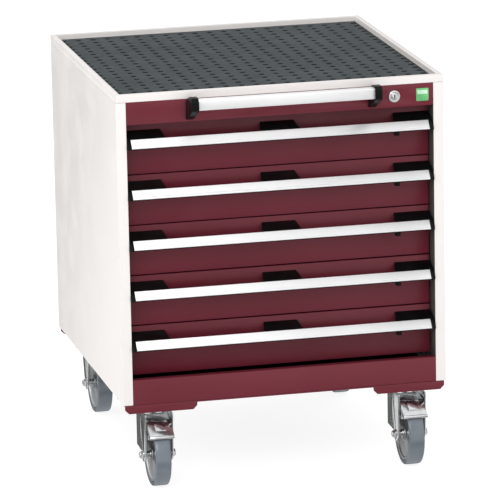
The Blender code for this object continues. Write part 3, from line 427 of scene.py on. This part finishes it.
def add_extruded(shape, points, low, high, place, axis):
    """Push a flat outline from low to high along an axis through place."""
    move = Matrix.Translation(place) @ TO_AXIS[axis]
    rings = []
    for level in (low, high):
        rings.append([shape.verts.new(move @ Vector((u, v, level))) for u, v in points])
    shape.faces.new(rings[0])
    shape.faces.new(rings[1])
    for i in range(len(points)):
        j = (i + 1) % len(points)
        shape.faces.new((rings[0][i], rings[0][j], rings[1][j], rings[1][i]))


def round_off(obj, width, segments, angle):
    """Round every edge that is sharper than the angle."""
    bevel = obj.modifiers.new("round", "BEVEL")
    bevel.width = width
    bevel.segments = segments
    bevel.limit_method = "ANGLE"
    bevel.angle_limit = math.radians(angle)
    bevel.harden_normals = True


def piece(name, shape, material, body, replaced=(), edge=0.0):
    """Make an object of a finished shape, with its material and body."""
    bmesh.ops.recalc_face_normals(shape, faces=shape.faces)
    mesh = bpy.data.meshes.new(name)
    shape.to_mesh(mesh)
    shape.free()
    mesh.shade_smooth()
    mesh.set_sharp_from_angle(angle=math.radians(SHARP_ANGLE))
    mesh.materials.append(MATERIALS[material])
    obj = bpy.data.objects.new(name, mesh)
    SCENE.collection.objects.link(obj)
    if edge:
        round_off(obj, edge, 2, SHARP_ANGLE)
    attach(obj, body)
    if replaced:
        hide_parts(*replaced)
    return obj


# ---- the rubber mat ----------------------------------------------------------------------
DIMPLE_PITCH = 0.0304
DIMPLE_FIRST = (0.0094, 0.0262)     # middle of the first dimple from the mat's left and front edges
DIMPLE_COUNT = (21, 20)
DIMPLE_R = 0.0064
DIMPLE_DEPTH = 0.0022
DIMPLE_LIP = 0.0003           # chamfer round a dimple
DIMPLE_DRAFT = 0.0007         # how much narrower its bottom is
DIMPLE_SIDES = 16


def add_dimple(shape, centre, x_edges, y_edges, top):
    """One cell of the mat, from its straight edges to a round dimple in it."""
    angles = [2 * math.pi * i / DIMPLE_SIDES for i in range(DIMPLE_SIDES)]
    turns = [(math.cos(a), math.sin(a)) for a in angles]
    outer = []
    for c, s in turns:
        u, v = (part / max(abs(c), abs(s)) for part in (c, s))
        x = centre[0] + abs(u) * (x_edges[u > 0] - centre[0])
        y = centre[1] + abs(v) * (y_edges[v > 0] - centre[1])
        outer.append(shape.verts.new((x, y, top)))
    rings = [outer]
    levels = (
        (DIMPLE_R, top),
        (DIMPLE_R - DIMPLE_LIP, top - DIMPLE_LIP),
        (DIMPLE_R - DIMPLE_DRAFT, top - DIMPLE_DEPTH),
    )
    for radius, z in levels:
        points = [(centre[0] + radius * c, centre[1] + radius * s, z) for c, s in turns]
        rings.append([shape.verts.new(point) for point in points])
    for upper, lower in zip(rings, rings[1:]):
        for i in range(DIMPLE_SIDES):
            j = (i + 1) % DIMPLE_SIDES
            shape.faces.new((upper[i], upper[j], lower[j], lower[i]))
    shape.faces.new(rings[-1])


def mat():
    """A rubber sheet with round dimples in rows."""
    low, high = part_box("top_mat")
    middles = []
    edges = []
    for axis in (0, 1):
        first = low[axis] + DIMPLE_FIRST[axis]
        places = [first + DIMPLE_PITCH * i for i in range(DIMPLE_COUNT[axis])]
        between = [place + DIMPLE_PITCH / 2 for place in places[:-1]]
        middles.append(places)
        edges.append([low[axis], *between, high[axis]])
    shape = bmesh.new()
    for column, x in enumerate(middles[0]):
        for row, y in enumerate(middles[1]):
            add_dimple(shape, (x, y), edges[0][column:column + 2], edges[1][row:row + 2], high.z)
    bmesh.ops.remove_doubles(shape, verts=shape.verts, dist=1e-6)
    rim = [edge for edge in shape.edges if edge.is_boundary]
    skirt = bmesh.ops.extrude_edge_only(shape, edges=rim)["geom"]
    for vert in skirt:
        if isinstance(vert, bmesh.types.BMVert):
            vert.co.z = low.z
    bottom = [edge for edge in skirt if isinstance(edge, bmesh.types.BMEdge) and edge.is_boundary]
    bmesh.ops.edgeloop_fill(shape, edges=bottom)
    piece("dimpled_mat", shape, "mat_rubber", "root", ["top_mat"])


# ---- castors -----------------------------------------------------------------------------
WASHER_T = 0.0012
AXLE_WASHER_R = 0.0088
AXLE_HEX_R = 0.0075
AXLE_HEAD_H = 0.0053
AXLE_NUT_H = 0.0046
THREAD_PAST = 0.0062          # thread that stands out of the leg at the nut's side
PLATE_BOLT_AT = (0.0405, 0.0330)    # from the middle of the mounting plate
PLATE_BOLT_R = 0.004
PLATE_WASHER_R = 0.0082
PLATE_HEX_R = 0.0070
PLATE_HEAD_H = 0.0044
BEAD_R = 0.0362
BEAD_ROUND = 0.0020


def hexagon(radius, height):
    """Profile of a hexagon head or nut with a chamfered top."""
    return [(0, 0), (radius, 0), (radius, height * 0.82), (radius * 0.90, height), (0, height)]


def washer(radius, bore):
    """Profile of a washer with a softened outer edge."""
    soft = WASHER_T * 0.3
    edge = [(radius, WASHER_T - soft), (radius - soft, WASHER_T)]
    return [(bore, 0), (radius, 0), *edge, (bore, WASHER_T)]


def tyre(castor, body):
    """A flat tread with tight shoulders, a faint crown and a lip against the rim."""
    inner = WHEEL_R - TYRE_T
    shoulder_r = 0.0024
    crown = 0.0004
    lip = 0.0009
    shoulder = arc((WHEEL_R - shoulder_r - crown, TYRE_HALF - shoulder_r), shoulder_r, 90, 8, 6)
    tread = [(WHEEL_R - crown * (x / TYRE_HALF) ** 2, x) for x in (0.009, 0.005, 0.0)]
    upper = [
        (inner, TYRE_HALF - 0.0015),
        (inner + lip * 0.6, TYRE_HALF - 0.0002),
        (inner + lip * 1.6, TYRE_HALF),
        (inner + lip * 3.0, TYRE_HALF - 0.0004),
    ]
    upper += shoulder + tread
    profile = upper + [(radius, -height) for radius, height in reversed(upper[:-1])]
    shape = bmesh.new()
    add_turned(shape, profile, middle(f"{castor}_tyre"), "X", 128, closed=True)
    piece(f"{castor}_tread", shape, "tyre_rubber", body, [f"{castor}_tyre"])


def wheel(castor, body):
    """A turned wheel centre: hub with its bearing shield, a shallow dish and a rolled rim."""
    outer = WHEEL_R - TYRE_T - GAP
    face = WHEEL_FACE
    dish = face - 0.0026
    half = (
        [(AXLE_R + GAP, face - 0.0008), (0.0085, face - 0.0008), (0.0088, face - 0.0016)]
        + [(0.0098, face - 0.0016), (0.0102, face - 0.0004)]
        + arc((0.0172, face - 0.0012), 0.0012, 90, 0, 4)
        + arc((0.0206, dish + 0.0012), 0.0012, 200, 270, 3)
        + [(0.0300, dish - 0.0004), (outer - 0.0088, dish)]
        + arc((outer - 0.0072, dish + 0.0012), 0.0012, 270, 340, 3)
        + arc((outer - 0.0045, face - 0.0009), 0.0009, 160, 90, 3)
        + [(outer - 0.0008, face), (outer, face - 0.0008)]
    )
    profile = half + [(radius, -height) for radius, height in reversed(half)]
    shape = bmesh.new()
    add_turned(shape, profile, middle(f"{castor}_wheel"), "X", 128, closed=True)
    piece(f"{castor}_disc", shape, "wheel_metal", body, [f"{castor}_wheel"])


def axle_bolt(castor, body):
    """Bolt, washers, spacers and a lock nut on the wheel's axis."""
    place = middle(f"{castor}_axle")
    shape = bmesh.new()
    reach = LEG_OUT + GAP
    end = reach + THREAD_PAST
    shaft = [(0, -end), (0.0034, -end), (AXLE_R, -end + 0.0006), (AXLE_R, reach), (0, reach)]
    add_turned(shape, shaft, place, "X", 32)
    length = LEG_IN - TYRE_HALF
    spacer = [(AXLE_R, 0), (0.0090, 0), (0.0090, 0.0022), (0.0070, 0.0030)]
    spacer += [(0.0070, length), (AXLE_R, length)]
    for axis, height in (("X", AXLE_HEAD_H), ("-X", AXLE_NUT_H)):
        outward = TO_AXIS[axis].to_3x3() @ Vector((0, 0, 1))
        seat = place + outward * reach
        add_turned(shape, washer(AXLE_WASHER_R, AXLE_R), seat, axis, 48, closed=True)
        add_turned(shape, hexagon(AXLE_HEX_R, height), seat + outward * WASHER_T, axis, 6)
        add_turned(shape, spacer, place + outward * (WHEEL_FACE + GAP), axis, 48, closed=True)
    collar = [(0.0058, 0), (0.0058, 0.0010), (0.0046, 0.0016), (0.0036, 0.0016), (0.0036, 0)]
    nut_end = place - Vector((reach + WASHER_T + AXLE_NUT_H, 0, 0))
    add_turned(shape, collar, nut_end, "-X", 32, closed=True)
    piece(f"{castor}_axle_bolt", shape, "castor_zinc", body, [f"{castor}_axle"])


def plate_bolts(castor, plate_node):
    """Four bolt heads with washers under the mounting plate."""
    low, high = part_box(plate_node)
    x, y = (low.x + high.x) / 2, (low.y + high.y) / 2
    shape = bmesh.new()
    for side_x in (-1, 1):
        for side_y in (-1, 1):
            across, along = side_x * PLATE_BOLT_AT[0], side_y * PLATE_BOLT_AT[1]
            seat = Vector((x + across, y + along, high.z - PLATE_T))
            head = seat - Vector((0, 0, WASHER_T))
            add_turned(shape, washer(PLATE_WASHER_R, PLATE_BOLT_R), seat, "-Z", 40, closed=True)
            add_turned(shape, hexagon(PLATE_HEX_R, PLATE_HEAD_H), head, "-Z", 6)
    piece(f"{castor}_plate_bolts", shape, "castor_zinc", "root")


def race_bead(castor):
    """The rolled bead round the swivel crown, over its ball race."""
    low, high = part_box(f"{castor}_plate")
    centre = Vector(((low.x + high.x) / 2, (low.y + high.y) / 2, high.z - PLATE_T - 2 * GAP))
    bead = arc((BEAD_R, -0.0032), BEAD_ROUND, 80, -80, 6)
    outline = [(BEAD_R, -0.0010), *bead, (BEAD_R, -0.0054)]
    shape = bmesh.new()
    add_turned(shape, outline, centre, "Z", 96, closed=True)
    piece(f"{castor}_race_bead", shape, "castor_zinc", castor)


for hand in HANDS:
    for end in ENDS:
        name = f"{end}_{hand}_castor"
        tyre(name, f"{name}_wheel")
        wheel(name, f"{name}_wheel")
        axle_bolt(name, name if end == "front" else "root")
        plate_bolts(name, f"{name}_plate" if end == "front" else f"{name}_fork")
    race_bead(f"front_{hand}_castor")
mat()


# ---- lock, badge and back ------------------------------------------------------------------
def lock_ring():
    """A polished bezel with a rounded edge and a sunk ring round the key plug."""
    centre = middle("key_cylinder")
    centre.x, centre.z = middle("lock_housing").x, middle("lock_housing").z
    centre.y = FRONT
    outer, tall, bore = 0.0118, 0.0041, 0.0068
    stem_r, stem_end = 0.0095, -0.022
    edge = 0.0016
    profile = (
        [(bore, stem_end), (stem_r, stem_end), (stem_r, GAP), (outer, GAP)]
        + arc((outer - edge, tall - edge), edge, 0, 90, 6)
        + [(0.0090, tall - 0.0001), (0.0086, tall - 0.0006), (0.0074, tall - 0.0009)]
        + [(0.0071, tall - 0.0003), (bore, tall - 0.0006)]
    )
    shape = bmesh.new()
    add_turned(shape, profile, centre, "-Y", 96, closed=True)
    piece("lock_bezel", shape, "lock_chrome", "root", ["lock_housing"])


def key_slot_painted_shadow():
    """A black insert with the wards of the key's slot, set in the plug's slot as painted shadow in
    its depth.
    """
    slot_depth = 0.0030
    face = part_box("key_cylinder")[0].y
    centre = Vector((middle("lock_housing").x, face, middle("lock_housing").z))
    half, tall = 0.0009, 0.0036
    outline = [
        (-half, -tall), (half, -tall), (half, -0.0018), (0.0002, -0.0010), (half, -0.0002),
        (half, tall), (-half, tall), (-half, 0.0014), (-0.0002, 0.0007), (-half, 0.0),
    ]
    shape = bmesh.new()
    add_extruded(shape, outline, 0.0006, slot_depth - 0.0002, centre, "Y")
    # black plastic here is painted shadow filling the slot's depth
    piece("key_slot_painted_shadow", shape, "black_plastic", "key")


def badge_band():
    """A paler raised band across the badge's upper part."""
    low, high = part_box("badge")
    width, height = high.x - low.x, high.z - low.z
    outline = rounded_rectangle((0, height * 0.20), width * 0.80, height * 0.30, 0.0012)
    face = middle("badge")
    face.y = low.y
    shape = bmesh.new()
    add_extruded(shape, outline, -0.0001, 0.0004, face, "-Y")
    piece("badge_band", shape, "badge_pale", "root", edge=0.00015)


def back_rivets():
    """Dome rivets down the rear flanges of the side panels."""
    low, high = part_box("back_panel")
    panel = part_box("right_side_panel")[1]
    dome = [(0, 0.0016), (0.0012, 0.0015), (0.0023, 0.0010), (0.0031, 0.0003)]
    dome += [(0.0032, -0.0001), (0, -0.0001)]
    rows = 7
    margin = 0.030            # from the back panel's ends to the first and last rivets
    inset = 0.009             # from the cabinet's sides
    shape = bmesh.new()
    for side in (-1, 1):
        for row in range(rows):
            z = low.z + margin + (high.z - low.z - 2 * margin) * row / (rows - 1)
            add_turned(shape, dome, Vector((side * (panel.x - inset), panel.y, z)), "Y", 24)
    piece("back_rivets", shape, "castor_zinc", "root")


lock_ring()
key_slot_painted_shadow()
badge_band()
back_rivets()


# ---- modifiers on the CAD sheet parts --------------------------------------------------
def smooth_group():
    """A node group that only turns smooth shading on."""
    group = bpy.data.node_groups.new("shade_smooth", "GeometryNodeTree")
    group.interface.new_socket("Geometry", in_out="INPUT", socket_type="NodeSocketGeometry")
    group.interface.new_socket("Geometry", in_out="OUTPUT", socket_type="NodeSocketGeometry")
    start = group.nodes.new("NodeGroupInput")
    smooth = group.nodes.new("GeometryNodeSetShadeSmooth")
    end = group.nodes.new("NodeGroupOutput")
    group.links.new(start.outputs[0], smooth.inputs["Geometry"])
    group.links.new(smooth.outputs["Geometry"], end.inputs[0])
    return group


SMOOTH = smooth_group()
WELD_DISTANCE = 0.00002
FLAT_ANGLE = 0.5              # degrees below which two CAD triangles are one flat face
ROUND_ANGLE = 32              # degrees from which a CAD edge is rounded


def dress(node, material, width, segments=2):
    """Give a CAD piece its material, clean its triangles and round its sharp edges."""
    obj = NODES[node]
    for slot in obj.material_slots:
        slot.material = MATERIALS[material]
    weld = obj.modifiers.new("weld", "WELD")
    weld.merge_threshold = WELD_DISTANCE
    clean = obj.modifiers.new("clean", "DECIMATE")
    clean.decimate_type = "DISSOLVE"
    clean.angle_limit = math.radians(FLAT_ANGLE)
    shade = obj.modifiers.new("shade", "NODES")
    shade.node_group = SMOOTH
    round_off(obj, width, segments, ROUND_ANGLE)


for side in HANDS:
    dress(f"{side}_side_panel", "side_paint_with_painted_shade", 0.0009)
    dress(f"{side}_runner_frame", "runner_steel", 0.0004)
    dress(f"push_handle_bracket_{side}", "black_plastic", 0.0012, 3)
    for end in ENDS:
        dress(f"{end}_{side}_castor_fork", "castor_zinc", 0.0008, 3)
    dress(f"front_{side}_castor_plate", "castor_zinc", 0.0006)
    dress(f"front_{side}_castor_pedal", "castor_zinc", 0.0006)
dress("back_panel", "carcass_paint", 0.0007)
dress("base_panel", "base_steel", 0.0005)
dress("plinth", "front_paint", 0.0009)
dress("lock_fascia", "front_paint", 0.0009)
dress("top_tray", "tray_paint", 0.0009, 3)
dress("front_castor_channel", "front_paint", 0.0010)
dress("rear_castor_channel", "front_paint", 0.0010)
dress("push_handle_bar", "handle_aluminium", 0.0004)
dress("key_cylinder", "lock_chrome", 0.0004)
dress("badge", "badge_green", 0.0003)
for number in DRAWERS:
    dress(f"drawer_{number}_box", "drawer_paint", 0.0008)
    dress(f"drawer_{number}_handle_carrier", "black_plastic", 0.0005)
    dress(f"drawer_{number}_handle_strip", "handle_aluminium", 0.0005)
    dress(f"drawer_{number}_catch", "black_plastic", 0.0006)


# ---- stage, light and camera -----------------------------------------------------------
FLOOR_HALF = 70
BACKDROP_R = 60
CAMERA_AT = (-2.0742, -8.9304, 2.5958)
CAMERA_TURN = (13.09, 13.53, -1.13)    # yaw, pitch down and roll, in degrees
CAMERA_LENS = 338.6
CAMERA_REACH = 200                     # past the backdrop from any side
LIGHTS = (
    # name, place, height aimed at, side, power
    ("key", (-1.2, -3.8, 3.1), 0.5, 1.8, 50),
    ("fill", (-4.0, -0.6, 2.2), 0.4, 2.4, 36),
    ("right", (4.0, 1.0, 2.2), 0.4, 2.4, 16),
)


def stage():
    """A pale floor that no mirror-like part reflects."""
    mesh = bpy.data.meshes.new("floor")
    size = FLOOR_HALF
    corners = [(-size, -size, 0), (size, -size, 0), (size, size, 0), (-size, size, 0)]
    mesh.from_pydata(corners, [], [(0, 1, 2, 3)])
    floor = bpy.data.objects.new("floor", mesh)
    floor.visible_glossy = False
    SCENE.collection.objects.link(floor)
    tree = Tree("floor_pale")
    tree.set(Base_Color=(0.34, 0.34, 0.34, 1), Roughness=0.9, Specular_IOR_Level=0.0)
    tree.set(Emission_Color=(1, 1, 1, 1), Emission_Strength=0.84)
    floor.data.materials.append(tree.material)
    backdrop()


def backdrop():
    """A pale wall all round, which only the camera sees, so that low views show no horizon."""
    shape = bmesh.new()
    add_turned(shape, [(BACKDROP_R, -0.01), (BACKDROP_R, BACKDROP_R)], Vector(), "Z", 96)
    mesh = bpy.data.meshes.new("backdrop")
    shape.to_mesh(mesh)
    shape.free()
    wall = bpy.data.objects.new("backdrop", mesh)
    wall.visible_glossy = wall.visible_diffuse = wall.visible_shadow = False
    SCENE.collection.objects.link(wall)
    tree = Tree("backdrop_pale")
    tree.set(Base_Color=(0, 0, 0, 1), Roughness=1.0, Specular_IOR_Level=0.0)
    tree.set(Emission_Color=(1, 1, 1, 1), Emission_Strength=1.0)
    mesh.materials.append(tree.material)
    return wall


def area_light(name, place, aim_z, side, power):
    """A square lamp aimed at a height on the cabinet's middle line."""
    data = bpy.data.lights.new(name, "AREA")
    data.shape = "RECTANGLE"
    data.size = data.size_y = side
    data.energy = power
    lamp = bpy.data.objects.new(name, data)
    lamp.location = place
    lamp.rotation_mode = "QUATERNION"
    lamp.rotation_quaternion = (Vector((0, 0, aim_z)) - Vector(place)).to_track_quat("-Z", "Y")
    SCENE.collection.objects.link(lamp)


def world():
    """A bright ceiling and front wall, over darker walls that plated parts reflect."""
    SCENE.world = bpy.data.worlds.new("studio")
    SCENE.world.use_nodes = True
    nodes, links = SCENE.world.node_tree.nodes, SCENE.world.node_tree.links
    direction = nodes.new("ShaderNodeSeparateXYZ")
    links.new(nodes.new("ShaderNodeTexCoord").outputs["Generated"], direction.inputs[0])

    def glow(axis, start, end, dim, bright):
        """Brightness that changes from dim to bright along an axis of the direction looked in."""
        node = smooth_range(nodes, start, end, dim, bright)
        links.new(direction.outputs[axis], node.inputs["Value"])
        return node.outputs["Result"]

    def combined(operation, first, second):
        node = nodes.new("ShaderNodeMath")
        node.operation = operation
        links.new(first, node.inputs[0])
        links.new(second, node.inputs[1])
        return node.outputs[0]

    ceiling = glow("Z", -0.10, 0.60, 0.12, 0.98)
    wall = combined(
        "MULTIPLY", glow("Y", -0.45, -0.92, 0.0, 0.95), glow("Z", -0.42, -0.22, 0.15, 1.0)
    )
    behind_left = combined(
        "MULTIPLY", glow("X", -0.31, -0.36, 0.0, 0.85), glow("Y", 0.2, 0.5, 0.0, 1.0)
    )
    ground = glow("Z", -0.45, -0.75, 0.0, 0.62)
    glows = combined("MAXIMUM", ceiling, wall)
    for more in (behind_left, ground):
        glows = combined("MAXIMUM", glows, more)
    nodes["Background"].inputs["Color"].default_value = (1, 1, 1, 1)
    links.new(glows, nodes["Background"].inputs["Strength"])


def camera():
    """The camera fitted to the photograph's corners."""
    data = bpy.data.cameras.new("camera")
    data.sensor_width = 36
    data.lens = CAMERA_LENS
    data.clip_end = CAMERA_REACH
    yaw, pitch, roll = (math.radians(angle) for angle in CAMERA_TURN)
    level = math.cos(pitch)
    ahead = Vector((math.sin(yaw) * level, math.cos(yaw) * level, -math.sin(pitch)))
    right = Vector((math.cos(yaw), -math.sin(yaw), 0))
    above = right.cross(ahead)
    across = right * math.cos(roll) + above * math.sin(roll)
    upward = above * math.cos(roll) - right * math.sin(roll)
    turn = Matrix((across, upward, -ahead)).transposed()
    obj = bpy.data.objects.new("camera", data)
    obj.matrix_world = Matrix.Translation(CAMERA_AT) @ turn.to_4x4()
    SCENE.collection.objects.link(obj)
    SCENE.camera = obj


stage()
world()
camera()
for light in LIGHTS:
    area_light(*light)
SCENE.view_settings.view_transform = "Standard"
